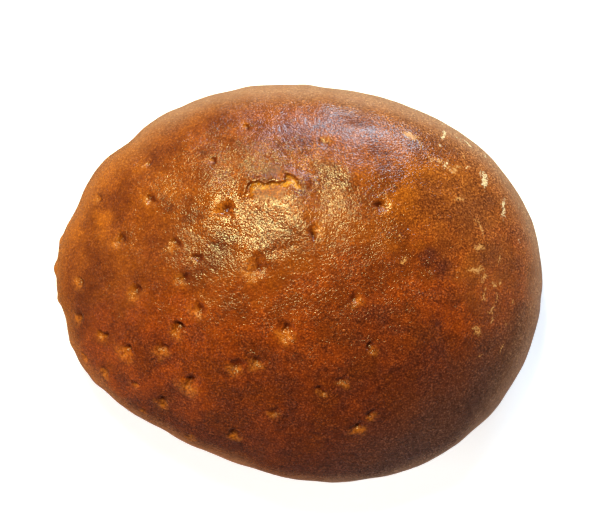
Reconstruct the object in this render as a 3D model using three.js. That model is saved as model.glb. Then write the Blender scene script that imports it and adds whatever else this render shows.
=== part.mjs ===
// A rye bread loaf: an oval hearth loaf with a domed crust, pricked before baking, and a flat base.
// Millimetres, +Z up. The origin is the middle of the base, and +X runs along the loaf to its broad end.

import * as THREE from "three";
import { mergeVertices } from "three/addons/utils/BufferGeometryUtils.js";

// Driving dimensions
const LENGTH = 230;
const HEIGHT = 76;
const RIM_HEIGHT = 24; // the level at which the loaf is widest
const BASE_SHARE = 0.8; // the base's outline beside the rim's
const DOME_FULLNESS = 2.15; // 2 makes the dome an ellipse, and more gives it fuller shoulders

// How far the rim reaches from the middle, at even steps anticlockwise from +X, in shares of half the length
const REACH = [1, 0.95, 0.855, 0.807, 0.86, 0.945, 0.987, 0.895, 0.79, 0.805, 0.88, 0.965];

// Where the dough was pulled in, or let out where the depth is negative: azimuth and spread in degrees
const RIM_DENTS = [
  { azimuth: 14, spread: 11, depth: -1.8 },
  { azimuth: 72, spread: 8, depth: 0.7 },
  { azimuth: 140, spread: 5, depth: 2.2 },
  { azimuth: 161, spread: 6, depth: 1.9 },
  { azimuth: 188, spread: 3.5, depth: 1.8 },
  { azimuth: 200, spread: 5, depth: -1 },
  { azimuth: 226, spread: 9, depth: 1.3 },
  { azimuth: 252, spread: 8.5, depth: 1.5 },
  { azimuth: 311, spread: 8, depth: -0.9 },
];

// Crags on the rim of the narrow end: dents, or knobs where the depth is negative
const CRAGS = [
  { azimuth: 165, width: 8, depth: 0.7 },
  { azimuth: 169.5, width: 7, depth: -0.6 },
  { azimuth: 173, width: 7, depth: 0.3 },
  { azimuth: 176.5, width: 10, depth: -1.2 },
  { azimuth: 184, width: 7, depth: -0.8 },
  { azimuth: 195, width: 9, depth: -0.5 },
  { azimuth: 206, width: 12, depth: -0.6 },
];
const CRAG_OUT = 0.993; // where they lie on the way from the middle out to the rim

// The pricks, by size: how wide and deep each dent is, and where it lies in plan
const PRICKS = [
  {
    width: 10,
    depth: 2.6,
    places: [[-78, 20], [-30, 31], [-14, 6], [-72, -5], [-50, -20], [-5, -20], [-76, -29], [-45, -44]],
  },
  {
    width: 7.5,
    depth: 1.9,
    places: [
      [-66, 36], [-48, 3], [-97, 1], [-42, -11], [-98, -15], [-86, -23], [-58, -28], [-26, -35], [-17, -33],
      [-87, -40], [-60, -53], [-48, -70], [-28, -67], [27, -63], [36, 34], [6, 22], [12, 62],
    ],
  },
  {
    width: 5,
    depth: 1.2,
    places: [
      [-37, 54], [-66, 53], [-90, 39], [-22, 69], [-43, 11], [-52, 17], [-72, -45], [-97, -34], [-70, -58],
      [-10, -56], [20, -42], [11, -46], [32, -57], [32, -28], [24, -6],
    ],
  },
];

// A blister that burst in the oven: a slit along X, with the flap sunk below its far lip
const TEAR = { x: -11, y: 45, length: 27, lip: 2.4, flap: 10, depth: 1.8 };

// Long, low waves that keep the crust from being even
const SWELL = { waves: 6, longest: 95, shortening: 0.82, height: 0.9 };
const GOLDEN_ANGLE = Math.PI * (3 - Math.sqrt(5));

// Facets: edge lengths on the plain crust, and in a dent as a share of its width
const FACET = 9;
const DENT_FACET_SHARE = 0.28;
const TEAR_FACET = 1.6;
const FACET_GROWTH = 0.9; // how fast facets grow with the distance from a detail
const REFINING_PASSES = 8;
const SPHERE_DETAIL = 7; // of the icosahedron that the facets start from

// Where the rim and the base's edge lie on the way from the top of the dome to the middle of the base
const RIM_AT = 0.6;
const BASE_EDGE_AT = 0.76;
const QUARTER_TURN = Math.PI / 2;

// The rim's distance from the middle: a closed Catmull-Rom curve through REACH, less the dents
function rimReach(azimuth) {
  const count = REACH.length;
  const turn = THREE.MathUtils.euclideanModulo(azimuth / (2 * Math.PI), 1);
  const step = Math.floor(turn * count);
  const u = turn * count - step;
  const [a, b, c, d] = [-1, 0, 1, 2].map((offset) => REACH[(step + offset + count) % count]);
  const share = b + 0.5 * u * (c - a + u * (2 * a - 5 * b + 4 * c - d + u * (3 * (b - c) + d - a)));
  let reach = (share * LENGTH) / 2;
  for (const dent of RIM_DENTS) {
    const turned = THREE.MathUtils.euclideanModulo(turn * 360 - dent.azimuth + 180, 360) - 180;
    reach -= dent.depth * Math.exp(-((turned / dent.spread) ** 2));
  }
  return reach;
}

// How high the dome stands at a share of the way from the middle out to the rim
function domeHeight(out) {
  return RIM_HEIGHT + (HEIGHT - RIM_HEIGHT) * Math.sqrt(Math.max(0, 1 - out ** DOME_FULLNESS));
}

// The loaf's section, from the top of the dome over the rim and under it to the middle of the base
function meridian(way) {
  if (way <= RIM_AT) {
    const out = Math.sin((way / RIM_AT) * QUARTER_TURN);
    return { out, up: domeHeight(out) };
  }
  if (way <= BASE_EDGE_AT) {
    const turn = ((way - RIM_AT) / (BASE_EDGE_AT - RIM_AT)) * QUARTER_TURN;
    return { out: BASE_SHARE + (1 - BASE_SHARE) * Math.cos(turn), up: RIM_HEIGHT * (1 - Math.sin(turn)) };
  }
  return { out: (BASE_SHARE * (1 - way)) / (1 - BASE_EDGE_AT), up: 0 };
}

// The point of the smooth loaf that a direction from its inside leads to
function smoothPoint(direction) {
  const azimuth = Math.atan2(direction.y, direction.x);
  const way = Math.acos(THREE.MathUtils.clamp(direction.z, -1, 1)) / Math.PI;
  const { out, up } = meridian(way);
  const reach = out * rimReach(azimuth);
  return new THREE.Vector3(reach * Math.cos(azimuth), reach * Math.sin(azimuth), up);
}

// The point of the smooth dome above a place in plan
function domePoint(x, y) {
  const out = Math.min(1, Math.hypot(x, y) / rimReach(Math.atan2(y, x)));
  return new THREE.Vector3(x, y, domeHeight(out));
}

const pricks = PRICKS.flatMap(({ width, depth, places }) =>
  places.map(([x, y]) => ({ middle: domePoint(x, y), width, depth })),
);

const crags = CRAGS.map(({ azimuth, width, depth }) => {
  const angle = THREE.MathUtils.degToRad(azimuth);
  const reach = CRAG_OUT * rimReach(angle);
  return { middle: domePoint(reach * Math.cos(angle), reach * Math.sin(angle)), width, depth };
});

const dents = [...pricks, ...crags];

// A dent: a bowl that meets the crust without an edge
function dentDepth(dent, point) {
  const share = Math.min(1, point.distanceTo(dent.middle) / (dent.width / 2));
  return dent.depth * (1 - share ** 2) ** 2;
}

function tearDepth(point) {
  const along = (point.x - TEAR.x) / (TEAR.length / 2);
  const below = TEAR.y - point.y;
  if (Math.abs(along) >= 1 || below <= 0 || below >= TEAR.flap) return 0;
  const drop = THREE.MathUtils.smoothstep(below, 0, TEAR.lip);
  return TEAR.depth * drop * (1 - along ** 4) * (1 - below / TEAR.flap) ** 2;
}

function swellHeight(point) {
  let height = 0;
  for (let wave = 0; wave < SWELL.waves; wave += 1) {
    const heading = wave * GOLDEN_ANGLE;
    const run = point.x * Math.cos(heading) + point.y * Math.sin(heading) + point.z;
    height += Math.sin((2 * Math.PI * run) / (SWELL.longest * SWELL.shortening ** wave) + wave);
  }
  return (SWELL.height * height) / SWELL.waves;
}

// How far the crust stands out of the smooth form at one of its points. The base stays flat.
function relief(point) {
  const aboveBase = THREE.MathUtils.smoothstep(point.z, 0, RIM_HEIGHT);
  const depth = dents.reduce((sum, dent) => sum + dentDepth(dent, point), tearDepth(point));
  return aboveBase * swellHeight(point) - depth;
}

// The edge length that facets should have at a point: small in dents, and large on the base
function facetAt(point) {
  const inside = BASE_SHARE * rimReach(Math.atan2(point.y, point.x)) - Math.hypot(point.x, point.y);
  let facet = point.z > 0 ? FACET : FACET + Math.max(0, inside);
  for (const { middle, width } of dents) {
    const away = Math.max(0, point.distanceTo(middle) - width / 2);
    facet = Math.min(facet, DENT_FACET_SHARE * width + FACET_GROWTH * away);
  }
  const past = Math.max(0, Math.abs(point.x - TEAR.x) - TEAR.length / 2);
  const off = Math.max(0, Math.abs(TEAR.y - TEAR.lip / 2 - point.y) - TEAR.lip);
  const tearFacet = TEAR_FACET + FACET_GROWTH * Math.hypot(past, off);
  return point.z > RIM_HEIGHT ? Math.min(facet, tearFacet) : facet;
}

// Splits each edge that is longer than its facet, in passes. Both triangles at an edge share its new vertex.
function refine(directions, triangles) {
  const points = directions.map(smoothPoint);
  for (let pass = 0; pass < REFINING_PASSES; pass += 1) {
    const middles = new Map();
    const middleOf = (a, b) => {
      const name = a < b ? `${a} ${b}` : `${b} ${a}`;
      if (!middles.has(name)) {
        const direction = directions[a].clone().add(directions[b]).normalize();
        const point = smoothPoint(direction);
        const long = points[a].distanceTo(points[b]) > facetAt(point);
        middles.set(name, long ? directions.push(direction) - 1 : null);
        if (long) points.push(point);
      }
      return middles.get(name);
    };
    triangles = triangles.flatMap((triangle) => splitTriangle(triangle, middleOf, points));
  }
  return { points, triangles };
}

// A triangle as one to four, for the edges that have a vertex in their middle
function splitTriangle([a, b, c], middleOf, points) {
  const [ab, bc, ca] = [middleOf(a, b), middleOf(b, c), middleOf(c, a)];
  const split = [ab, bc, ca].filter((middle) => middle !== null).length;
  if (split === 0) return [[a, b, c]];
  if (split === 3) return [[a, ab, ca], [ab, b, bc], [ca, bc, c], [ab, bc, ca]];
  // Turned so that the first edge is split, and the last one whole
  if (ab === null) return splitTriangle([b, c, a], middleOf, points);
  if (ca !== null) return splitTriangle([c, a, b], middleOf, points);
  if (split === 1) return [[a, ab, c], [ab, b, c]];
  const shorter = points[ab].distanceTo(points[c]) < points[a].distanceTo(points[bc]);
  const rest = shorter ? [[a, ab, c], [ab, bc, c]] : [[a, ab, bc], [a, bc, c]];
  return [[ab, b, bc], ...rest];
}

function meshGeometry(points, triangles) {
  const geometry = new THREE.BufferGeometry().setFromPoints(points);
  geometry.setIndex(triangles.flat());
  geometry.computeVertexNormals();
  return geometry;
}

// The crust as one closed surface: a refined sphere drawn over the smooth form, then raised by the relief
function loafGeometry() {
  const ball = new THREE.IcosahedronGeometry(1, SPHERE_DETAIL);
  ball.deleteAttribute("normal");
  ball.deleteAttribute("uv");
  const sphere = mergeVertices(ball);
  const corners = sphere.getAttribute("position");
  const directions = Array.from({ length: corners.count }, (_, i) =>
    new THREE.Vector3().fromBufferAttribute(corners, i),
  );
  const order = Array.from(sphere.index.array);
  const faces = Array.from({ length: order.length / 3 }, (_, i) => order.slice(3 * i, 3 * i + 3));
  const { points, triangles } = refine(directions, faces);

  const normals = meshGeometry(points, triangles).getAttribute("normal");
  const raised = points.map((point, i) => {
    if (point.z === 0) return point;
    return new THREE.Vector3().fromBufferAttribute(normals, i).multiplyScalar(relief(point)).add(point);
  });
  const geometry = meshGeometry(raised, triangles);
  geometry.computeBoundingBox();
  const middle = geometry.boundingBox.getCenter(new THREE.Vector3());
  return geometry.translate(-middle.x, -middle.y, 0);
}

const crust = new THREE.MeshStandardMaterial({ color: 0x9a5020, roughness: 0.5, metalness: 0 });

const loaf = new THREE.Mesh(loafGeometry(), crust);
loaf.name = "loaf";

const bread = new THREE.Group();
bread.add(loaf);

export default bread;
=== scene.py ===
# The looks of a rye bread loaf: a finely modelled crust in place of the plain solid, on a pale stage with
# lights and a camera. The scene is in metres. The loaf's own form is worked out in millimetres from the
# middle of its base, +Z up.

import math

import bmesh
import bpy
import numpy as np
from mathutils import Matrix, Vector


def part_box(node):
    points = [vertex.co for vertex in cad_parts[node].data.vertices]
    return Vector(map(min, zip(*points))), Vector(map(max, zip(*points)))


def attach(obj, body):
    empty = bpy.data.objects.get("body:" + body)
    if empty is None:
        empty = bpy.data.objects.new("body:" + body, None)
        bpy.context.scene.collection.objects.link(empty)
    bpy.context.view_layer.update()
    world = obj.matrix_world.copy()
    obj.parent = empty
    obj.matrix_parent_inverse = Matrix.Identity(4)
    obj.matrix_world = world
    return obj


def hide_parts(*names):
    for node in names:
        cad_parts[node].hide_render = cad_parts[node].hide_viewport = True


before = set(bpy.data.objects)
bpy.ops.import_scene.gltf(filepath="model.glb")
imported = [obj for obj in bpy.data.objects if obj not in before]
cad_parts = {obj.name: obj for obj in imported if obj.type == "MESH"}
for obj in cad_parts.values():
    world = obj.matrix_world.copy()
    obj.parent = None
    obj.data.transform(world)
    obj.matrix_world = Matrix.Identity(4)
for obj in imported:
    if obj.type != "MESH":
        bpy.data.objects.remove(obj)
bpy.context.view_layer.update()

MM = 0.001

# The loaf's form, as in the solid
LENGTH = 230
HEIGHT = 76
RIM_HEIGHT = 24
BASE_SHARE = 0.8
DOME_FULLNESS = 2.15
REACH = np.array([1, 0.95, 0.855, 0.807, 0.86, 0.945, 0.987, 0.895, 0.79, 0.805, 0.88, 0.965])
RIM_DENTS = (  # azimuth, spread and depth, which is negative for a bulge
    (14, 11, -1.8),
    (72, 8, 0.7),
    (140, 5, 2.2),
    (161, 6, 1.9),
    (188, 3.5, 1.8),
    (200, 5, -1),
    (226, 9, 1.3),
    (252, 8.5, 1.5),
    (311, 8, -0.9),
)
CRAGS = (  # azimuth, width and depth, which is negative for a knob
    (165, 8, 0.7),
    (169.5, 7, -0.6),
    (173, 7, 0.3),
    (176.5, 10, -1.2),
    (184, 7, -0.8),
    (195, 9, -0.5),
    (206, 12, -0.6),
)
CRAG_OUT = 0.993
SWELL_WAVES = 6
SWELL_LONGEST = 95
SWELL_SHORTENING = 0.82
SWELL_HEIGHT = 0.9
GOLDEN_ANGLE = math.pi * (3 - math.sqrt(5))
RIM_AT = 0.6
BASE_EDGE_AT = 0.76

# The pricks: width, depth and the places of their deepest points in plan
PRICKS = (
    (12, 2.6, ((-16, 7.5),)),
    (11, 2.4, ((-30, 32),)),
    (10.5, 3.2, ((-78, 20), (-70, -3), (-51, -19.5), (-4.5, -19), (-75, -29.5), (-46.5, -42.5))),
    (
        8,
        2.3,
        (
            (-64, 37.5), (-48, 3), (-97, 1), (-42, -11), (-98, -15), (-86, -23), (-58, -28), (-26, -35),
            (-17, -33), (-87, -40), (-60, -53), (-48, -70), (-28, -67), (27, -63), (36.5, 34), (7, 21.5),
        ),
    ),
    (
        6,
        1.4,
        (
            (-37, 54), (-66, 53), (-90, 39), (-22, 69), (-43, 11), (-52, 17), (-72, -45), (-97, -34),
            (-70, -58), (-10, -56), (20, -42), (11, -46), (32, -57), (32, -28), (24, -6),
        ),
    ),
    (8, 0.9, ((12, 62),)),
)
SLANT_SOUTH = 0.8  # how much pricks slant to the south, beside downhill
STEEP_SHARE = 0.75  # how far a prick reaches behind its deepest point, beside half its width
SLANT_SHARE = 1.3  # and how far it reaches along its slant
HOLE_WIDTH = 5.5  # of the hole in the middle of a prick
HOLE_DEPTH_SHARE = 0.35
PUCKER_SHARE = 0.12  # how high the crust is pushed up around a prick
PRICK_UNEVENNESS = 0.18  # how far pricks differ in width and depth
PRICK_SEED = 5

# The marks that pricks leave, from where each starts to where it is full: the depth of the prick, how far
# along its slant its pale side and its dark hole lie, and how far from the hole's middle it is dark. The
# last three are in shares of half the width. The pale side is paler dough with painted light on the wall
# that faces the lamp; the dark hole and the crack are painted shade
MARKED_DEPTHS = (0.3, 1.8)
PALE_LIT_RUN = (-0.05, 0.7)
PALE_LIT_SPREAD = 1.4  # how far the pale side reaches, in shares of the prick's half width
HOLE_SHADE_RUN = (0.35, 0)
HOLE_SHADE_EDGE = (1.1, 0.3)
PALE_LIT_STRENGTH = 0.9
HOLE_SHADE_STRENGTH = 0.85
CRACK_SHADE_STRENGTH = 0.6

# The burst blister: the line of its crack in plan, from west to east
TEAR_PATH = (
    (-21.9, 39.9), (-21.3, 42.1), (-19.9, 43.9), (-17.3, 44.4), (-14.9, 44.1), (-11.5, 43.9), (-8.4, 44.3),
    (-5.4, 44.4), (-4.5, 47.3), (-1.3, 46.5), (0.7, 45.3), (1.5, 43.9),
)
TEAR_LIP = 0.9
TEAR_LIP_WIDTH = 5
TEAR_LIP_FALL = 3  # how fast the lip falls off
TEAR_DROP = 0.5
TEAR_FLAP_WIDTH = 5
CRACK_DEPTH = 0.45
CRACK_WIDTH = 0.55
INNER_BAND = 3.3  # how far the torn, paler dough reaches below the crack
INNER_FADE = 0.8  # over which length it fades out there
TORN_FROM = -19.5  # where it starts in the west
TORN_FADE = 1  # and over which length on either side

# Where the crust is drawn taut, so that its grain is lower: the middle of each patch in plan, its half
# sizes and how taut it is. There its glaze is glossier, and its speckles are stronger as painted glints
TAUT_PATCHES = (
    ((-18, 31), (34, 30), 0.7),  # the blister
    ((75, 45), (60, 60), 0.8),
    ((31, 68), (70, 42), 0.9),
)
PATCH_CORE = 0.2  # the share of a patch's half size in which it is full

# Where the glaze isn't glossy: the middle of each patch in plan, its half sizes and its roughness
SATIN_PATCHES = (
    ((29, 64), (62, 38), 0.26),
    ((-12, 39.5), (12, 6), 0.5),  # below the tear
    ((-10, 48.5), (10, 5), 0.4),  # above it
)

# Creases: the line of each in plan, its depth and its width
CREASES = (
    (  # at the foot of the blister
        (
            (-28.5, 49), (-36.5, 42), (-40.5, 37.5), (-43.5, 29.5), (-44, 23), (-40, 18.5), (-33, 15.5),
            (-25, 13), (-16, 12), (-6, 14), (0.5, 17.5),
        ),
        0.32,
        2.4,
    ),
    (((-21, 40), (-19.5, 37.2), (-16, 36), (-12.5, 36.5)), 0.25, 0.6),  # under the tear's flap
    (((-1, 38), (-1.3, 30)), 0.15, 0.8),
    (((6.5, 27.5), (9, 27.3), (12, 26)), 0.25, 0.6),
)

# Strokes in the glaze around the blister, in arcs about their middle
STROKE_MIDDLE = (-16, 34)
STROKE_RADIUS = 30
STROKE_STRETCH = 0.45
STROKES_AT = (34, 20)  # where they are strongest, from their middle, and how far they spread
STROKES_SOUTH = (-0.8, 0.2)  # the southward share of the way out at which they start, and are full

# Shallow hollows: the middle of each in plan, its width and its depth
HOLLOWS = (((-80, 18), 70, 1.4),)

# Relief of the plain crust: length and height of the bumps
BUMPS = ((24, 0.2), (11, 0.06))
WAVES = 40  # how many waves bumps and warps are made of
WAVE_SPREAD = 0.3  # how far the waves differ in length
WARP_LENGTHS = (7, 3.2)
WARPS = (0.5, 0.22)  # how far dents and flecks stray from round, at each length
WARP_SEEDS = (21, 22, 23)

# Flour on the crust, and flecks where the glaze came off: place in plan, length, width, heading and
# thickness
FLOUR_FLECKS = (
    (67.5, 67.5, 4, 3, 60, 1), (64.5, 63, 2, 1.5, 0, 0.9), (67, 74, 3.5, 1.2, -40, 0.6),
    (74, 66.5, 4, 1.1, -25, 0.6), (78.5, 63.5, 5.5, 1.2, -35, 0.8), (86.5, 58.5, 4.5, 1.4, -70, 0.6),
    (66.5, 52.5, 4, 3, 45, 1), (77, 51.5, 2, 1.3, 0, 0.7), (84.5, 46, 7.5, 2, -80, 1),
    (94.5, 46, 2, 1.5, 0, 0.7), (93.5, 34, 9, 2.8, 85, 0.9), (102.5, 36, 4, 1.5, -80, 0.4),
    (100.5, 18.5, 3, 2, 0, 0.4),
)
PEELED_FLECKS = (
    (50.5, 65.5, 8.5, 2.6, -30, 0.8), (55.5, 61.5, 4, 1, -40, 0.5), (62.5, 55, 4.2, 2.4, 0, 0.7),
    (60, 55.5, 3, 1.2, -10, 0.5), (71.5, 51.5, 4, 1.4, 0, 0.7), (69, 50.5, 3, 2, -40, 0.8),
    (75.5, 56.5, 4, 1.4, 80, 0.4), (72, 37.5, 5.5, 2.3, 15, 0.6), (78.5, 27.5, 4, 1, -50, 0.5),
    (82, 24, 7.5, 1.2, -75, 0.7), (80, 15.5, 3.8, 3.2, 0, 0.9), (78.5, 5.5, 6, 2.4, 5, 0.9),
    (83, 2.5, 3.8, 2.8, 45, 0.7), (87.5, -1, 2.8, 2.3, 0, 0.8), (91.5, 0.5, 2.4, 1.9, 60, 0.6),
    (89, -7.5, 7, 1, 88, 0.8), (87, -12, 4.2, 1.2, 40, 0.8), (86.5, -16.5, 4.7, 1.2, 80, 0.7),
    (83, -4.5, 4.7, 1.2, 85, 0.6), (84.5, -13, 2.8, 1.9, 0, 0.5), (79.5, -20.5, 4.7, 3.7, -70, 0.5),
    (81.5, -32, 3.3, 1, 10, 0.4), (97, -8.5, 3.2, 1, 85, 0.4), (94, -18, 3.2, 1, 85, 0.4),
    (44.5, 19.5, 2.3, 1.4, 80, 0.5), (90.5, 12.5, 6.5, 1.2, 80, 0.4), (46.5, 9.5, 3.6, 1.8, 60, 0.7),
    (92, -29, 3.8, 1, 80, 0.7),
)

# Burnt spots, and broader patches where the crust is darker: place in plan, width and strength
STAINS = (
    (58, 12, 9, 0.85), (64, 6.5, 9, 0.85), (83.5, 9, 5, 0.6), (99.5, 9, 5, 0.5), (70, -9.5, 4, 0.6),
    (86.5, 37, 9, 0.6), (-48.5, 3.5, 9, 0.7), (-91, -5, 42, 0.35), (-35, 18.5, 8, 0.4), (-44, 11, 26, 0.3),
    (-34, 14, 20, 0.55), (-54, 21, 30, 0.3), (-20, 8, 16, 0.25), (22, 75, 26, 0.35), (14, 43, 20, 0.3),
    (42.5, 41.5, 2.5, 0.9), (62.5, -16.5, 3, 0.7),
)
SPOT_SPREAD = 1.6  # how wide a spot or patch is where it has faded out, in shares of its width

# The crust is darker towards an azimuth, from one distance along it to another: partly baked darker,
# partly painted shade on the side turned from the lamp
BAKE_AND_SHADE_AZIMUTH = -75
BAKE_AND_SHADE_FROM = -45
BAKE_AND_SHADE_TO = 65

# Patches that are baked and shaded more or less than that: place in plan, width and how much more
UNEVEN_BAKE_AND_SHADE = (
    (-92, 36, 38, -0.32), (-42, -49, 30, -0.3), (-66, -29, 24, 0.34), (66, 24, 60, -0.2),
    (36, -18, 22, 0.12), (104, 2, 30, -0.4), (20, -22, 14, -0.2), (82, -6, 46, -0.2),
)

# The crust is greyer towards an azimuth, from one distance along it to another: dust and painted sheen
DUST_AND_SHEEN_AZIMUTH = -50
DUST_AND_SHEEN_FROM = 60
DUST_AND_SHEEN_TO = 98

# It is paler and greyer towards another azimuth, as painted sheen, again from one distance to another,
# and by how much
PAINTED_SHEEN_AZIMUTH = 25
PAINTED_SHEEN_FROM = 50
PAINTED_SHEEN_TO = 85
PAINTED_SHEEN_SHARE = 0.1

# The levels from which the crust turns into the paler side, at every 30 degrees, and how far below it ends.
# The side's colour is paler dough, with painted window light and sheen in the north and east and painted
# shade in the south
SIDE_FROM = np.array([52, 52.5, 56, 56, 54.5, 53.5, 47, 46.5, 48, 46.4, 45, 51])
SIDE_FADE = 17
WEST_SHARE = (0.5, 1)  # the westward share of the way out at which the side starts to be warm, and is
SOUTH_SHARE = (0, 0.6)  # and the southward share at which it starts to be shaded, and is

# Facets: the longest edge on the dome, below the rim and in details
DOME_FACET = 1.7
SIDE_FACET = 2.4
SIDE_FACET_FROM = 1.4  # the level from which facets grow towards the rim, in rim heights
BASE_FACET = 9
PRICK_FACET = 0.7
FLECK_FACET = 0.55
TEAR_FACET = 0.45
FACET_GROWTH = 0.35
REFINING_PASSES = 6
SPHERE_SUBDIVISIONS = 6


def around(values, azimuth):
    """A closed Catmull-Rom curve through values that are evenly spaced around the loaf."""
    count = len(values)
    turn = np.mod(azimuth / (2 * math.pi), 1)
    step = np.minimum((turn * count).astype(int), count - 1)
    u = turn * count - step
    a, b, c, d = (values[(step + offset) % count] for offset in (-1, 0, 1, 2))
    return b + 0.5 * u * (c - a + u * (2 * a - 5 * b + 4 * c - d + u * (3 * (b - c) + d - a)))


def rim_reach(azimuth):
    """The rim's distance from the middle: a curve through REACH, less the dents."""
    reach = around(REACH, azimuth) * LENGTH / 2
    for middle, spread, depth in RIM_DENTS:
        turned = np.mod(np.degrees(azimuth) - middle + 180, 360) - 180
        reach = reach - depth * np.exp(-((turned / spread) ** 2))
    return reach


def dome_height(out):
    """How high the dome stands at a share of the way from the middle out to the rim."""
    return RIM_HEIGHT + (HEIGHT - RIM_HEIGHT) * np.sqrt(np.maximum(0, 1 - out**DOME_FULLNESS))


def smooth_points(directions):
    """The points of the smooth loaf that directions from its inside lead to."""
    azimuth = np.arctan2(directions[:, 1], directions[:, 0])
    way = np.arccos(np.clip(directions[:, 2], -1, 1)) / math.pi
    on_dome = np.sin(np.minimum(way / RIM_AT, 1) * math.pi / 2)
    turn = np.clip((way - RIM_AT) / (BASE_EDGE_AT - RIM_AT), 0, 1) * math.pi / 2
    under_rim = BASE_SHARE + (1 - BASE_SHARE) * np.cos(turn)
    on_base = BASE_SHARE * (1 - way) / (1 - BASE_EDGE_AT)
    out = np.where(way <= RIM_AT, on_dome, np.where(way <= BASE_EDGE_AT, under_rim, on_base))
    up = np.where(way <= RIM_AT, dome_height(on_dome), RIM_HEIGHT * (1 - np.sin(turn)))
    up[way >= BASE_EDGE_AT] = 0
    reach = out * rim_reach(azimuth)
    return np.column_stack([reach * np.cos(azimuth), reach * np.sin(azimuth), up])


def dome_point(x, y):
    """The point of the smooth dome above a place in plan."""
    out = min(1, math.hypot(x, y) / float(rim_reach(np.array(math.atan2(y, x)))))
    return np.array([x, y, dome_height(np.array(out))])


def smoothstep(value, low, high):
    """0 up to low and 1 from high on, or the other way around where low is above high."""
    share = np.clip((value - low) / (high - low), 0, 1)
    return share * share * (3 - 2 * share)


def waves(points, length, seed):
    """Smooth random relief with a spread of 1, whose bumps come about every length."""
    rng = np.random.default_rng(seed)
    headings = rng.normal(size=(WAVES, points.shape[1]))
    headings /= np.linalg.norm(headings, axis=1, keepdims=True)
    headings *= 2 * math.pi / length * rng.uniform(1 - WAVE_SPREAD, 1 + WAVE_SPREAD, (WAVES, 1))
    return np.sin(points @ headings.T + rng.uniform(0, 2 * math.pi, WAVES)).sum(1) * math.sqrt(2 / WAVES)


def swell(points):
    """The long, low waves that the solid has too."""
    height = np.zeros(len(points))
    for wave in range(SWELL_WAVES):
        heading = wave * GOLDEN_ANGLE
        run = points[:, 0] * math.cos(heading) + points[:, 1] * math.sin(heading) + points[:, 2]
        height += np.sin(2 * math.pi * run / (SWELL_LONGEST * SWELL_SHORTENING**wave) + wave)
    return SWELL_HEIGHT * height / SWELL_WAVES


def prick_list():
    """Each prick's deepest point, the way it slants up from there, its width and its depth."""
    rng = np.random.default_rng(PRICK_SEED)
    found = []
    for usual_width, usual_depth, places in PRICKS:
        for x, y in places:
            factors = rng.uniform(1 - PRICK_UNEVENNESS, 1 + PRICK_UNEVENNESS, 2)
            width, depth = factors * (usual_width, usual_depth)
            heading = np.array([x, y]) / math.hypot(x, y) - (0, SLANT_SOUTH)
            slant = dome_point(*((x, y) + heading)) - dome_point(*((x, y) - heading))
            found.append((dome_point(x, y), slant / np.linalg.norm(slant), width, depth))
    return found


def crag_list():
    """Each crag's middle, width and depth."""
    found = []
    for azimuth, width, depth in CRAGS:
        angle = math.radians(azimuth)
        reach = CRAG_OUT * float(rim_reach(np.array(angle)))
        found.append((dome_point(reach * math.cos(angle), reach * math.sin(angle)), width, depth))
    return found


def prick_place(points, middle, slant, width):
    """How far along its slant points lie in a prick, and how far from its deepest point: 1 at its edge."""
    away = points - middle
    along = away @ slant
    across = np.sqrt(np.maximum(0, (away**2).sum(1) - along**2))
    run = along / np.where(along < 0, STEEP_SHARE, SLANT_SHARE)
    return run / (width / 2), np.hypot(run, across) / (width / 2)


def dent(share):
    """1 in the middle of a dent and 0 at its edge."""
    return (1 - np.minimum(1, share) ** 2) ** 2


def bowl(points, middle, width):
    """1 in the middle of a round dent and 0 from half its width on."""
    return dent(np.linalg.norm(points - middle, axis=1) / (width / 2))


def path_distance(points, path):
    """The distance from a path in plan, and the side: positive to the left of it."""
    place = points[:, :2]
    nearest = np.full(len(place), np.inf)
    side = np.ones(len(place))
    for start, end in zip(np.array(path[:-1]), np.array(path[1:])):
        run = end - start
        share = np.clip((place - start) @ run / (run @ run), 0, 1)
        away = place - start - share[:, None] * run
        distance = np.hypot(*away.T)
        turn = run[0] * (place - start)[:, 1] - run[1] * (place - start)[:, 0]
        closer = distance < nearest
        side[closer] = np.sign(turn[closer])
        nearest[closer] = distance[closer]
    return nearest, side


def tear_relief(points):
    """The lip north of the crack, the sunk flap south of it, and the crack between."""
    distance, side = path_distance(points, TEAR_PATH)
    lip = TEAR_LIP * np.exp(-((distance / TEAR_LIP_WIDTH) ** 2) * TEAR_LIP_FALL)
    flap = TEAR_DROP * smoothstep(TEAR_FLAP_WIDTH - distance, 0, TEAR_FLAP_WIDTH)
    crack = CRACK_DEPTH * np.exp(-((distance / CRACK_WIDTH) ** 2))
    return np.where(side > 0, lip, -flap) - crack


def patch_marks(points, middle, half_size):
    """1 in the middle of a patch and 0 from its edge on."""
    share = np.hypot(*((points[:, :2] - middle) / half_size).T)
    return smoothstep(share, 1, PATCH_CORE) * (points[:, 2] > RIM_HEIGHT)


def crease_relief(points):
    """The creases, all below the crust."""
    height = np.zeros(len(points))
    for path, depth, width in CREASES:
        height -= depth * np.exp(-((path_distance(points, path)[0] / width) ** 2))
    return height


def stroke_flow(points):
    """Places measured across and along the strokes."""
    away = points[:, :2] - STROKE_MIDDLE
    arc = STROKE_RADIUS * np.arctan2(away[:, 0], -away[:, 1])
    return np.column_stack([np.hypot(*away.T), arc * STROKE_STRETCH])


def stroke_strength(points):
    """1 where the strokes are strongest."""
    away = points[:, :2] - STROKE_MIDDLE
    radius = np.hypot(*away.T)
    near = np.exp(-(((radius - STROKES_AT[0]) / STROKES_AT[1]) ** 2))
    on_dome = points[:, 2] > RIM_HEIGHT
    return near * on_dome * smoothstep(-away[:, 1] / np.maximum(radius, 1), *STROKES_SOUTH)


def warped(points):
    """Points moved a little to and fro, so that what is measured from them isn't round."""
    moved = points.copy()
    for length, warp in zip(WARP_LENGTHS, WARPS):
        moved += warp * np.column_stack([waves(points, length, seed) for seed in WARP_SEEDS])
    return moved


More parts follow.
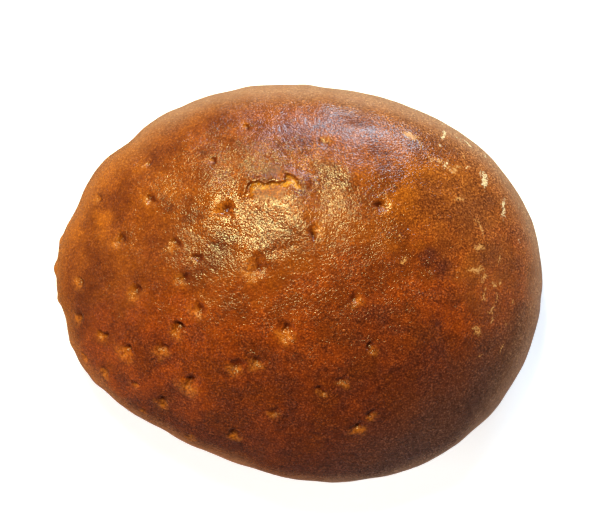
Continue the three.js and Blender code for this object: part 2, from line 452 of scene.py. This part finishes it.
def relief(points, strayed, pricks):
    """How far the crust stands out of the smooth form. The base stays flat."""
    above_base = smoothstep(points[:, 2], 0, RIM_HEIGHT)
    height = above_base * swell(points)
    for seed, (length, rise) in enumerate(BUMPS):
        height += above_base * rise * waves(points, length, seed)
    for middle, slant, width, depth in pricks:
        _, share = prick_place(strayed, middle, slant, width)
        hole = HOLE_DEPTH_SHARE * dent(share * width / HOLE_WIDTH)
        height += depth * (PUCKER_SHARE * dent(share / 2) - (1 - HOLE_DEPTH_SHARE) * dent(share) - hole)
    hollows = [(dome_point(*place), width, depth) for place, width, depth in HOLLOWS]
    for middle, width, depth in crag_list() + hollows:
        height -= depth * bowl(points, middle, width)
    on_dome = points[:, 2] > RIM_HEIGHT
    return height + on_dome * (tear_relief(strayed) + crease_relief(strayed))


def facet_at(points, pricks):
    """The edge length that facets should have: small in details, and large on the base."""
    inside = BASE_SHARE * rim_reach(np.arctan2(points[:, 1], points[:, 0])) - np.hypot(*points[:, :2].T)
    lowness = smoothstep(points[:, 2], SIDE_FACET_FROM * RIM_HEIGHT, RIM_HEIGHT)
    facet = DOME_FACET + (SIDE_FACET - DOME_FACET) * lowness
    facet = np.where(points[:, 2] > 0, facet, np.clip(SIDE_FACET + inside, SIDE_FACET, BASE_FACET))
    dents = [(middle, width) for middle, _, width, _ in pricks]
    dents += [(middle, width) for middle, width, _ in crag_list()]
    for middle, width in dents:
        away = np.maximum(0, np.linalg.norm(points - middle, axis=1) - width / 2)
        facet = np.minimum(facet, PRICK_FACET + FACET_GROWTH * away)
    on_dome = points[:, 2] > RIM_HEIGHT
    details = [TEAR_FACET + FACET_GROWTH * np.maximum(0, path_distance(points, TEAR_PATH)[0] - CRACK_WIDTH)]
    for x, y, length, _, _, _ in FLOUR_FLECKS + PEELED_FLECKS:
        from_fleck = np.hypot(*(points[:, :2] - (x, y)).T) - length / 2
        details.append(FLECK_FACET + FACET_GROWTH * np.maximum(0, from_fleck))
    return np.where(on_dome, np.minimum.reduce([facet, *details]), facet)


def icosphere():
    ball = bmesh.new()
    bmesh.ops.create_icosphere(ball, subdivisions=SPHERE_SUBDIVISIONS, radius=1)
    directions = np.array([vertex.co for vertex in ball.verts])
    faces = np.array([[vertex.index for vertex in face.verts] for face in ball.faces])
    ball.free()
    return directions, faces


def split_faces(faces, middles, points):
    """Each face as one to four. An edge's middle is the number of its new vertex, or -1 for none."""
    has = middles >= 0
    count = has.sum(1)
    # Turned so that a single split edge comes first, and a single whole edge last
    first = np.where(count == 1, has.argmax(1), np.where(count == 2, (~has).argmax(1) + 1, 0))
    turned = (np.arange(3) + first[:, None]) % 3
    (a, b, c), (ab, bc, ca) = (np.take_along_axis(x, turned, 1).T for x in (faces, middles))
    once, twice, thrice = (count == n for n in (1, 2, 3))
    by_c = twice & (
        np.linalg.norm(points[ab] - points[c], axis=1) < np.linalg.norm(points[a] - points[bc], axis=1)
    )
    by_a = twice & ~by_c
    cases = (
        (count == 0, ((a, b, c),)),
        (once, ((a, ab, c), (ab, b, c))),
        (twice, ((ab, b, bc),)),
        (by_c, ((a, ab, c), (ab, bc, c))),
        (by_a, ((a, ab, bc), (a, bc, c))),
        (thrice, ((a, ab, ca), (ab, b, bc), (ca, bc, c), (ab, bc, ca))),
    )
    return np.concatenate([np.column_stack(corners)[where] for where, made in cases for corners in made])


def refined(pricks):
    """The smooth loaf's points and faces, with each edge split that is longer than its facet."""
    directions, faces = icosphere()
    points = smooth_points(directions)
    for _ in range(REFINING_PASSES):
        edges = np.sort(faces[:, [[0, 1], [1, 2], [2, 0]]].reshape(-1, 2), axis=1)
        pairs, edge_of = np.unique(edges, axis=0, return_inverse=True)
        middles = directions[pairs].sum(1)
        middles /= np.linalg.norm(middles, axis=1, keepdims=True)
        middle_points = smooth_points(middles)
        length = np.linalg.norm(points[pairs[:, 0]] - points[pairs[:, 1]], axis=1)
        long = length > facet_at(middle_points, pricks)
        number = np.full(len(pairs), -1)
        number[long] = len(points) + np.arange(long.sum())
        directions = np.concatenate([directions, middles[long]])
        points = np.concatenate([points, middle_points[long]])
        faces = split_faces(faces, number[edge_of].reshape(-1, 3), points)
    return points, faces


def vertex_normals(points, faces):
    corners = points[faces]
    across = np.cross(corners[:, 1] - corners[:, 0], corners[:, 2] - corners[:, 0])
    normals = np.column_stack(
        [np.bincount(faces.ravel(), np.repeat(across[:, axis], 3), len(points)) for axis in range(3)]
    )
    return normals / np.linalg.norm(normals, axis=1, keepdims=True)


def fleck_marks(points, flecks):
    """How thick flecks lie: each one's thickness in its middle, fading out at its edge."""
    thick = np.zeros(len(points))
    for x, y, length, width, heading, thickness in flecks:
        along = np.array([math.cos(math.radians(heading)), math.sin(math.radians(heading))])
        across = np.array([-along[1], along[0]])
        away = points[:, :2] - (x, y)
        share = np.hypot(away @ along / (length / 2), away @ across / (width / 2))
        thick = np.maximum(thick, thickness * np.exp(-(share**2)))
    return thick * (points[:, 2] > RIM_HEIGHT)


def prick_light_and_shade(points, pricks):
    """The pale side of each prick, along its slant, and the dark hole behind. The pale side is paler dough
    with painted light, and the hole is painted shade.
    """
    pale = np.zeros(len(points))
    dark = np.zeros(len(points))
    for middle, slant, width, depth in pricks:
        run, share = prick_place(points, middle, slant, width)
        in_hole = share * width / HOLE_WIDTH
        strength = smoothstep(depth, *MARKED_DEPTHS)
        pale = np.maximum(pale, strength * dent(share / PALE_LIT_SPREAD) * smoothstep(run, *PALE_LIT_RUN))
        dark = np.maximum(dark, strength * smoothstep(in_hole, *HOLE_SHADE_EDGE) * smoothstep(run, *HOLE_SHADE_RUN))
    return pale, dark


def stain_marks(points):
    stain = np.zeros(len(points))
    for x, y, width, strength in STAINS:
        stain = np.maximum(stain, strength * bowl(points, dome_point(x, y), SPOT_SPREAD * width))
    return stain


def bake_and_shade_marks(points):
    bake_and_shade = smoothstep(distance_along(points, BAKE_AND_SHADE_AZIMUTH), BAKE_AND_SHADE_FROM, BAKE_AND_SHADE_TO)
    for x, y, width, more in UNEVEN_BAKE_AND_SHADE:
        bake_and_shade += more * bowl(points, dome_point(x, y), SPOT_SPREAD * width)
    return bake_and_shade


def distance_along(points, azimuth):
    """How far points lie from the middle towards an azimuth."""
    angle = math.radians(azimuth)
    return points[:, :2] @ (math.cos(angle), math.sin(angle))


def marks(points, strayed, pricks):
    """What colours the crust in places: the name and the strength of each mark at every point."""
    pale, dark = prick_light_and_shade(strayed, pricks)
    distance, side = path_distance(strayed, TEAR_PATH)
    on_top = points[:, 2] > RIM_HEIGHT
    east_of_start = smoothstep(points[:, 0], TORN_FROM - TORN_FADE, TORN_FROM + TORN_FADE)
    torn = on_top * (side < 0) * east_of_start * smoothstep(INNER_BAND - distance, 0, INNER_FADE)
    # The crack's painted shade
    crack = on_top * np.exp(-((distance / CRACK_WIDTH) ** 2))
    azimuth = np.arctan2(points[:, 1], points[:, 0])
    taut, satin = (
        [strength * patch_marks(strayed, *patch) for *patch, strength in patches]
        for patches in (TAUT_PATCHES, SATIN_PATCHES)
    )
    return {
        # pale: the pricks' paler dough with painted light on the walls facing the lamp
        "pale": PALE_LIT_STRENGTH * pale,
        "torn": torn,
        # dark: painted shade in the pricks' holes and in the crack
        "dark": np.maximum(HOLE_SHADE_STRENGTH * dark, CRACK_SHADE_STRENGTH * crack),
        "flour": fleck_marks(strayed, FLOUR_FLECKS),
        "peeled": fleck_marks(strayed, PEELED_FLECKS),
        "stain": stain_marks(strayed),
        # the paler side, whose colour carries painted window light, sheen and shade by azimuth
        "side": smoothstep(around(SIDE_FROM, azimuth) - points[:, 2], 0, SIDE_FADE),
        "west": smoothstep(-np.cos(azimuth), *WEST_SHARE),
        "south": smoothstep(-np.sin(azimuth), *SOUTH_SHARE),
        # darker towards the lower right: partly baked, partly painted shade away from the lamp
        "bake_and_shade": bake_and_shade_marks(points),
        # greyer towards the south-east: dust and painted sheen
        "dust_and_sheen": smoothstep(distance_along(points, DUST_AND_SHEEN_AZIMUTH), DUST_AND_SHEEN_FROM, DUST_AND_SHEEN_TO),
        # dull: painted sheen, paler and greyer towards the north-east
        "dull": PAINTED_SHEEN_SHARE * smoothstep(distance_along(points, PAINTED_SHEEN_AZIMUTH), PAINTED_SHEEN_FROM, PAINTED_SHEEN_TO),
        "strokes": stroke_strength(points),
        "taut": np.maximum.reduce(taut),
        "satin": np.maximum.reduce(satin),
    }


def add_mark(mesh, name, values):
    mesh.attributes.new(name, "FLOAT", "POINT").data.foreach_set("value", values.astype(np.float32))


def loaf_object():
    """The crust as one closed mesh, set where the solid is."""
    pricks = prick_list()
    points, faces = refined(pricks)
    strayed = warped(points)
    rise = np.where(points[:, 2] > 0, relief(points, strayed, pricks), 0)
    shaped = points + rise[:, None] * vertex_normals(points, faces)
    low, high = (np.array(corner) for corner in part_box("loaf"))
    middle = (shaped.min(0) + shaped.max(0)) / 2
    placed = (shaped - middle * (1, 1, 0)) * MM + (low + high) / 2 * (1, 1, 0)
    mesh = bpy.data.meshes.new("crust")
    mesh.from_pydata(placed.tolist(), [], faces.tolist())
    for name, values in marks(points, strayed, pricks).items():
        add_mark(mesh, name, values)
    flow = np.column_stack([stroke_flow(points) * MM, np.zeros(len(points))]).astype(np.float32)
    mesh.attributes.new("flow", "FLOAT_VECTOR", "POINT").data.foreach_set("vector", flow.ravel())
    mesh.shade_smooth()
    loaf = bpy.data.objects.new("crust", mesh)
    bpy.context.scene.collection.objects.link(loaf)
    return loaf


# Colours, in linear light
# The crust's tones from golden to dark: partly baked, partly painted shade away from the lamp
GOLDEN_CRUST = (0.27, 0.068, 0.004, 1)
LIGHT_CRUST = (0.175, 0.038, 0.003, 1)
BROWN_CRUST = (0.184, 0.029, 0.0018, 1)
DARK_CRUST = (0.074, 0.0132, 0.0045, 1)
RED_CRUST = (0.092, 0.0165, 0.002, 1)
# Greyer crust and side towards the south-east: dust and painted sheen
DUST_AND_SHEEN_CRUST = (0.072, 0.026, 0.018, 1)
# Paler, greyer crust: painted sheen
PAINTED_SHEEN_CRUST = (0.3, 0.13, 0.055, 1)
DUST_AND_SHEEN_SIDE = (0.26, 0.12, 0.065, 1)
# The pricks' pale sides: paler dough with painted light
PALE_LIT_DOUGH = (0.47, 0.145, 0.014, 1)
# The paler side: warm in the west; painted window light and sheen in the north and east; painted shade in
# the south
WARM_SIDE = (0.34, 0.098, 0.008, 1)
COOL_LIT_SIDE = (0.27, 0.115, 0.052, 1)
SHADED_SIDE = (0.29, 0.1, 0.033, 1)
STAIN = (0.045, 0.008, 0.005, 1)
TORN_DOUGH = (0.46, 0.18, 0.009, 1)
# Painted shade in the pricks' holes and the crack
HOLE_AND_CRACK_SHADE = (0.06, 0.007, 0.0005, 1)
FLOUR = (0.52, 0.4, 0.25, 1)
PEELED = (0.4, 0.185, 0.06, 1)

# How many times as light as the crust its speckles are: the light ones are pale grains and painted glints
GRAIN_AND_GLINT_SPECKLE = (2.1, 2.6, 2.8, 1)
DARK_SPECKLE = (0.3, 0.25, 0.25, 1)

# Sizes of the crust's grain and mottling, in metres, and how many finer octaves their noises have
GRAIN = 0.00075
STROKE_GRAIN = 0.0009
GRAIN_DETAIL = 1.0
STIPPLE = 0.0008
COARSE_PATCH = 0.003
CRUMB = 0.0016
MOTTLE = 0.03
PATCH = 0.009
PATCH_DETAIL = 3.0
RED_PATCH = 0.014
USUAL_DETAIL = 2.0
GRAIN_DEPTH = 0.0005
STROKE_SHARE = 0.4  # how far the grain follows the strokes, where they are strongest

# How noises and marks turn into shares: from one value to another of theirs, and, where the shares don't
# run from 0 to 1, from one share to another
BAKE_AND_SHADE_MOTTLING = (0.7, 1.3, -0.2, 0.2)
GOLDEN_TO_LIGHT = (-0.5, 0.0)
LIGHT_TO_BROWN = (0.0, 0.6)
BROWN_TO_DARK = (0.45, 1.0)
RED_SHARE = (0.42, 0.66, 0.0, 0.7)
SIDE_PATCHES = (0.2, 0.6, 0.7, 1.0)
CRUMB_SHARE = (0.35, 0.62, 0.2, 1.0)
FLECK_GRAIN = (0.3, 0.7, -0.4, 0.4)
FLECK_EDGE = (0.02, 0.25)
PEELED_SHARE = (0.2, 0.75)
FLOUR_SHARE = (0.35, 0.95)
SPECKLE_BAKE_AND_SHADE = (0.2, 0.8)
SPECKLE_PATCHES = (0.35, 0.65, 0.85, 1.2)
SPECKLE_SIDE = (0.0, 1.0, 1.0, 0.6)

# Speckles: their size, the noise from which and at which they show, how strong they are on light crust and
# on dark crust, how much stronger on taut crust, where they paint the glints' contrast, and their tint
SPECKLES = (
    (COARSE_PATCH, (0.5, 0.32), (0.25, 0.35), 0.0, DARK_SPECKLE),
    (STIPPLE, (0.5, 0.34), (0.4, 0.6), 0.4, DARK_SPECKLE),
    (STIPPLE, (0.53, 0.68), (0.55, 0.9), 0.45, GRAIN_AND_GLINT_SPECKLE),
)

# The glaze: roughness by patches, and its factors where the crust is taut and where the side is warm
ROUGHNESS = (0.3, 0.7, 0.2, 0.3)
TAUT_ROUGHNESS = (0.0, 0.6, 1.0, 0.6)
WARM_SIDE_ROUGHNESS = (0.0, 1.0, 1.0, 0.0)
SIDE_ROUGHNESS = 0.6
PEELED_ROUGHNESS = 0.6
FLOUR_ROUGHNESS = 0.9
SPECULAR = 0.3
SHEEN = 0.035
SHEEN_TINT = (0.75, 0.85, 1.0, 1)

# The grain's height by patches, and its factors where marks are
COARSENESS = (0.35, 0.65, 0.6, 1.0)
MARK_COARSENESS = (
    ("taut", 0.0, 1.0, 1.0, 0.5),
    ("bake_and_shade", 0.4, 1.0, 1.0, 0.85),
    ("pale", 0.0, 0.7, 1.0, 1.3),
)


class Shader:
    """A material's node tree, with short ways to add nodes to it."""

    def __init__(self, name):
        self.material = bpy.data.materials.new(name)
        self.material.use_nodes = True
        self.tree = self.material.node_tree
        self.surface = self.tree.nodes["Principled BSDF"]
        self.place = self.node("TexCoord").outputs["Object"]

    def node(self, kind, **settings):
        made = self.tree.nodes.new("ShaderNode" + kind)
        for name, value in settings.items():
            setattr(made, name, value)
        return made

    def put(self, socket, value):
        if isinstance(value, bpy.types.NodeSocket):
            self.tree.links.new(value, socket)
        else:
            socket.default_value = value

    def noise(self, size, detail=USUAL_DETAIL, place=None):
        made = self.node("TexNoise")
        for name, value in (("Scale", 1 / size), ("Detail", detail)):
            made.inputs[name].default_value = value
        self.put(made.inputs["Vector"], place or self.place)
        return made.outputs["Fac"]

    def math(self, operation, a, b):
        made = self.node("Math", operation=operation)
        self.put(made.inputs[0], a)
        self.put(made.inputs[1], b)
        return made.outputs[0]

    def ranged(self, value, low, high, to_low=0.0, to_high=1.0):
        made = self.node("MapRange", interpolation_type="SMOOTHSTEP")
        names = ("From Min", "From Max", "To Min", "To Max")
        for name, number in zip(names, (low, high, to_low, to_high)):
            made.inputs[name].default_value = number
        self.put(made.inputs["Value"], value)
        return made.outputs["Result"]

    def mixed(self, share, a, b, blend="MIX"):
        made = self.node("Mix", data_type="RGBA", blend_type=blend)
        for socket, value in ((made.inputs[0], share), (made.inputs[6], a), (made.inputs[7], b)):
            self.put(socket, value)
        return made.outputs[2]

    def mark(self, name):
        return self.node("Attribute", attribute_name=name).outputs["Fac"]

    def flecks(self, name, grain, low, high):
        """Where the marked flecks show, broken up by the grain."""
        thick = self.mark(name)
        broken = self.math("ADD", thick, self.ranged(grain, *FLECK_GRAIN))
        return self.math("MULTIPLY", self.ranged(broken, low, high), self.ranged(thick, *FLECK_EDGE))


def crust_grain(shader):
    """The grain of the crust, drawn out along the strokes."""
    flow = shader.node("Attribute", attribute_name="flow").outputs["Vector"]
    made = shader.node("Mix", data_type="FLOAT")
    shader.put(made.inputs[0], shader.math("MULTIPLY", shader.mark("strokes"), STROKE_SHARE))
    shader.put(made.inputs[2], shader.noise(GRAIN, GRAIN_DETAIL))
    shader.put(made.inputs[3], shader.noise(STROKE_GRAIN, GRAIN_DETAIL, flow))
    return made.outputs[0]


def baked_and_shaded_colour(shader, baked_and_shaded):
    """The glazed crust's tones, from golden to dark, partly baked and partly painted shade, with redder and
    burnt places, greyer ones of dust and painted sheen, and paler ones of painted sheen.
    """
    colour = shader.mixed(shader.ranged(baked_and_shaded, *GOLDEN_TO_LIGHT), GOLDEN_CRUST, LIGHT_CRUST)
    colour = shader.mixed(shader.ranged(baked_and_shaded, *LIGHT_TO_BROWN), colour, BROWN_CRUST)
    colour = shader.mixed(shader.ranged(baked_and_shaded, *BROWN_TO_DARK), colour, DARK_CRUST)
    colour = shader.mixed(shader.ranged(shader.noise(RED_PATCH), *RED_SHARE), colour, RED_CRUST)
    # Burnt spots, then dust with painted sheen, then painted sheen
    for name, over in (("stain", STAIN), ("dust_and_sheen", DUST_AND_SHEEN_CRUST), ("dull", PAINTED_SHEEN_CRUST)):
        colour = shader.mixed(shader.mark(name), colour, over)
    return colour


def side_colour(shader):
    """The paler side: warm in the west, with painted window light and sheen elsewhere, painted shade in the
    south, and dust and painted sheen where the crust has them.
    """
    colour = COOL_LIT_SIDE
    for name, over in (("west", WARM_SIDE), ("south", SHADED_SIDE), ("dust_and_sheen", DUST_AND_SHEEN_SIDE)):
        colour = shader.mixed(shader.mark(name), colour, over)
    return colour


def speckled(shader, colour, baked_and_shaded, patches):
    """A colour with dark and light speckles, which are stronger in patches and weaker on the side. The
    light ones are pale grains and painted glints; on taut crust both are stronger and paint the glints'
    contrast.
    """
    on_side = shader.ranged(shader.mark("side"), *SPECKLE_SIDE)
    unevenness = shader.math("MULTIPLY", shader.ranged(patches, *SPECKLE_PATCHES), on_side)
    for size, shown, strengths, on_taut, tint in SPECKLES:
        strength = shader.ranged(baked_and_shaded, *SPECKLE_BAKE_AND_SHADE, *strengths)
        strength = shader.math("ADD", strength, shader.math("MULTIPLY", shader.mark("taut"), on_taut))
        strength = shader.math("MULTIPLY", strength, unevenness)
        share = shader.math("MULTIPLY", shader.ranged(shader.noise(size), *shown), strength)
        colour = shader.mixed(share, colour, tint, "MULTIPLY")
    return colour


def crust_colour(shader, grain, patches, flour):
    """The crust and its side, speckled, with the pricks' painted light and shade, torn dough and flecks
    over them.
    """
    mottling = shader.math("ADD", shader.noise(MOTTLE), patches)
    baked_and_shaded = shader.math("ADD", shader.mark("bake_and_shade"), shader.ranged(mottling, *BAKE_AND_SHADE_MOTTLING))
    side = shader.math("MULTIPLY", shader.mark("side"), shader.ranged(patches, *SIDE_PATCHES))
    colour = shader.mixed(side, baked_and_shaded_colour(shader, baked_and_shaded), side_colour(shader))
    colour = speckled(shader, colour, baked_and_shaded, patches)
    crumbs = shader.ranged(shader.noise(CRUMB), *CRUMB_SHARE)
    # The pricks' pale sides are paler dough with painted light; the torn dough is its own colour
    for name, over in (("pale", PALE_LIT_DOUGH), ("torn", TORN_DOUGH)):
        colour = shader.mixed(shader.math("MULTIPLY", shader.mark(name), crumbs), colour, over)
    # Painted shade in the pricks' holes and the crack
    colour = shader.mixed(shader.mark("dark"), colour, HOLE_AND_CRACK_SHADE)
    colour = shader.mixed(shader.flecks("peeled", grain, *PEELED_SHARE), colour, PEELED)
    return shader.mixed(flour, colour, FLOUR)


def crust_roughness(shader, patches, flour):
    """How rough the glaze is. The satin patches' mark is their roughness itself."""
    roughness = shader.ranged(patches, *ROUGHNESS)
    roughness = shader.math("MULTIPLY", roughness, shader.ranged(shader.mark("taut"), *TAUT_ROUGHNESS))
    away_from_west = shader.ranged(shader.mark("west"), *WARM_SIDE_ROUGHNESS)
    dull_side = shader.math("MULTIPLY", shader.mark("side"), away_from_west)
    for dull, rough in (
        (dull_side, SIDE_ROUGHNESS),
        (shader.mark("satin"), 1.0),
        (shader.mark("peeled"), PEELED_ROUGHNESS),
        (flour, FLOUR_ROUGHNESS),
    ):
        roughness = shader.math("MAXIMUM", roughness, shader.math("MULTIPLY", dull, rough))
    return roughness


def crust_normal(shader, grain):
    """The surface's tilt by its grain, which is lower in some places and higher in others."""
    coarseness = shader.ranged(shader.noise(COARSE_PATCH, GRAIN_DETAIL), *COARSENESS)
    for name, *factors in MARK_COARSENESS:
        coarseness = shader.math("MULTIPLY", coarseness, shader.ranged(shader.mark(name), *factors))
    bump = shader.node("Bump")
    bump.inputs["Distance"].default_value = GRAIN_DEPTH
    shader.put(bump.inputs["Height"], shader.math("MULTIPLY", grain, coarseness))
    return bump.outputs["Normal"]


def crust_material():
    shader = Shader("crust")
    grain = crust_grain(shader)
    patches = shader.noise(PATCH, PATCH_DETAIL)
    flour = shader.flecks("flour", grain, *FLOUR_SHARE)
    surface = shader.surface.inputs
    shader.put(surface["Base Color"], crust_colour(shader, grain, patches, flour))
    shader.put(surface["Roughness"], crust_roughness(shader, patches, flour))
    shader.put(surface["Normal"], crust_normal(shader, grain))
    surface["Specular IOR Level"].default_value = SPECULAR
    surface["Sheen Weight"].default_value = SHEEN
    surface["Sheen Tint"].default_value = SHEEN_TINT
    return shader.material


# The stage: a flat floor that turns up into a wall far from the loaf
FLOOR_RADIUS = 1.6
WALL_RADIUS = 2.2
WALL_HEIGHT = 0.8
TURN_STEPS = 16
STAGE_SIDES = 96
MERGE_DISTANCE = 1e-5
STAGE_WHITE = (0.8, 0.85, 0.95, 1)
STAGE_ROUGHNESS = 0.9
STAGE_SPECULAR = 0.1
STAGE_GLOW_COLOUR = (1, 1, 1, 1)
STAGE_GLOW = 0.5


def stage_object():
    """The floor and its wall as one turned surface."""
    turn = [math.pi / 2 * step / TURN_STEPS for step in range(TURN_STEPS + 1)]
    bend = WALL_RADIUS - FLOOR_RADIUS
    profile = [(0, 0)] + [(FLOOR_RADIUS + bend * math.sin(t), bend * (1 - math.cos(t))) for t in turn]
    profile.append((WALL_RADIUS, WALL_HEIGHT))
    shape = bmesh.new()
    line = [shape.verts.new((x, 0, z)) for x, z in profile]
    edges = [shape.edges.new(pair) for pair in zip(line, line[1:])]
    bmesh.ops.spin(
        shape,
        geom=line + edges,
        axis=(0, 0, 1),
        cent=(0, 0, 0),
        angle=2 * math.pi,
        steps=STAGE_SIDES,
        use_merge=True,
    )
    bmesh.ops.remove_doubles(shape, verts=shape.verts, dist=MERGE_DISTANCE)
    bmesh.ops.recalc_face_normals(shape, faces=shape.faces)
    mesh = bpy.data.meshes.new("stage")
    shape.to_mesh(mesh)
    shape.free()
    mesh.shade_smooth()
    stage = bpy.data.objects.new("stage", mesh)
    bpy.context.scene.collection.objects.link(stage)
    return stage


def stage_material():
    shader = Shader("stage")
    surface = shader.surface.inputs
    surface["Base Color"].default_value = STAGE_WHITE
    surface["Roughness"].default_value = STAGE_ROUGHNESS
    surface["Specular IOR Level"].default_value = STAGE_SPECULAR
    surface["Emission Color"].default_value = STAGE_GLOW_COLOUR
    surface["Emission Strength"].default_value = STAGE_GLOW
    return shader.material


# Lights: how far off the vertical and towards which azimuth each stands, how far away, its size, power and
# colour
LAMP = (32.3, 106, 0.65, (0.13, 0.17), 6.9, (1.0, 0.88, 0.37))
WINDOW = (75.3, 74.5, 1.4, (0.5, 0.3), 20.5, (0.5, 0.8, 1.0))
FILL = (75, 0, 1.4, (1.2, 0.5), 7.5, (1.0, 0.9, 0.8))
BOUNCE = (62, 212, 1.4, (1.2, 0.5), 18, (1.0, 0.9, 0.7))
WORLD = (0.03, 0.026, 0.022, 1)
LIT_POINT = Vector((0, 0, 0.05))


def add_light(name, tilt, azimuth, distance, size, power, colour, mirrored=True):
    """A rectangular light that faces the loaf, and may be left out of reflections."""
    light = bpy.data.lights.new(name, "AREA")
    light.shape = "RECTANGLE"
    light.size, light.size_y = size
    light.energy = power
    light.color = colour
    tilt, azimuth = math.radians(tilt), math.radians(azimuth)
    level = math.sin(tilt)
    towards = Vector((level * math.cos(azimuth), level * math.sin(azimuth), math.cos(tilt)))
    holder = bpy.data.objects.new(name, light)
    holder.location = LIT_POINT + towards * distance
    holder.rotation_euler = towards.to_track_quat("Z", "Y").to_euler()
    holder.visible_camera = False
    holder.visible_glossy = mirrored
    bpy.context.scene.collection.objects.link(holder)


def light_scene():
    add_light("lamp", *LAMP)
    add_light("window", *WINDOW)
    add_light("fill", *FILL, mirrored=False)
    add_light("bounce", *BOUNCE, mirrored=False)
    world = bpy.data.worlds.new("room")
    world.use_nodes = True
    world.node_tree.nodes["Background"].inputs["Color"].default_value = WORLD
    bpy.context.scene.world = world
    bpy.context.scene.view_settings.view_transform = "Standard"


# The camera: straight above the loaf, which lies in the picture where the photograph has it
IMAGE_WIDTH = 600
IMAGE_HEIGHT = 523
LOAF_MIDDLE = (298.5, 283.5)  # in pixels
LOAF_LENGTH = 489  # in pixels
CAMERA_HEIGHT = 0.6
OUTLINE_HEIGHT = 0.029  # the level whose outline the camera sees
SENSOR = 36


def add_camera():
    low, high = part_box("loaf")
    scale = (high.x - low.x) / LOAF_LENGTH / (CAMERA_HEIGHT - OUTLINE_HEIGHT)
    camera = bpy.data.cameras.new("camera")
    camera.sensor_width = SENSOR
    camera.lens = SENSOR / (scale * IMAGE_WIDTH)
    camera.shift_x = (IMAGE_WIDTH / 2 - LOAF_MIDDLE[0]) / IMAGE_WIDTH
    camera.shift_y = (LOAF_MIDDLE[1] - IMAGE_HEIGHT / 2) / IMAGE_WIDTH
    holder = bpy.data.objects.new("camera", camera)
    middle = (low + high) / 2
    holder.location = (middle.x, middle.y, CAMERA_HEIGHT)
    bpy.context.scene.collection.objects.link(holder)
    bpy.context.scene.camera = holder


loaf = loaf_object()
loaf.data.materials.append(crust_material())
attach(loaf, "root")
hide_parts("loaf")

stage = stage_object()
stage.data.materials.append(stage_material())
stage.visible_glossy = False

light_scene()
add_camera()
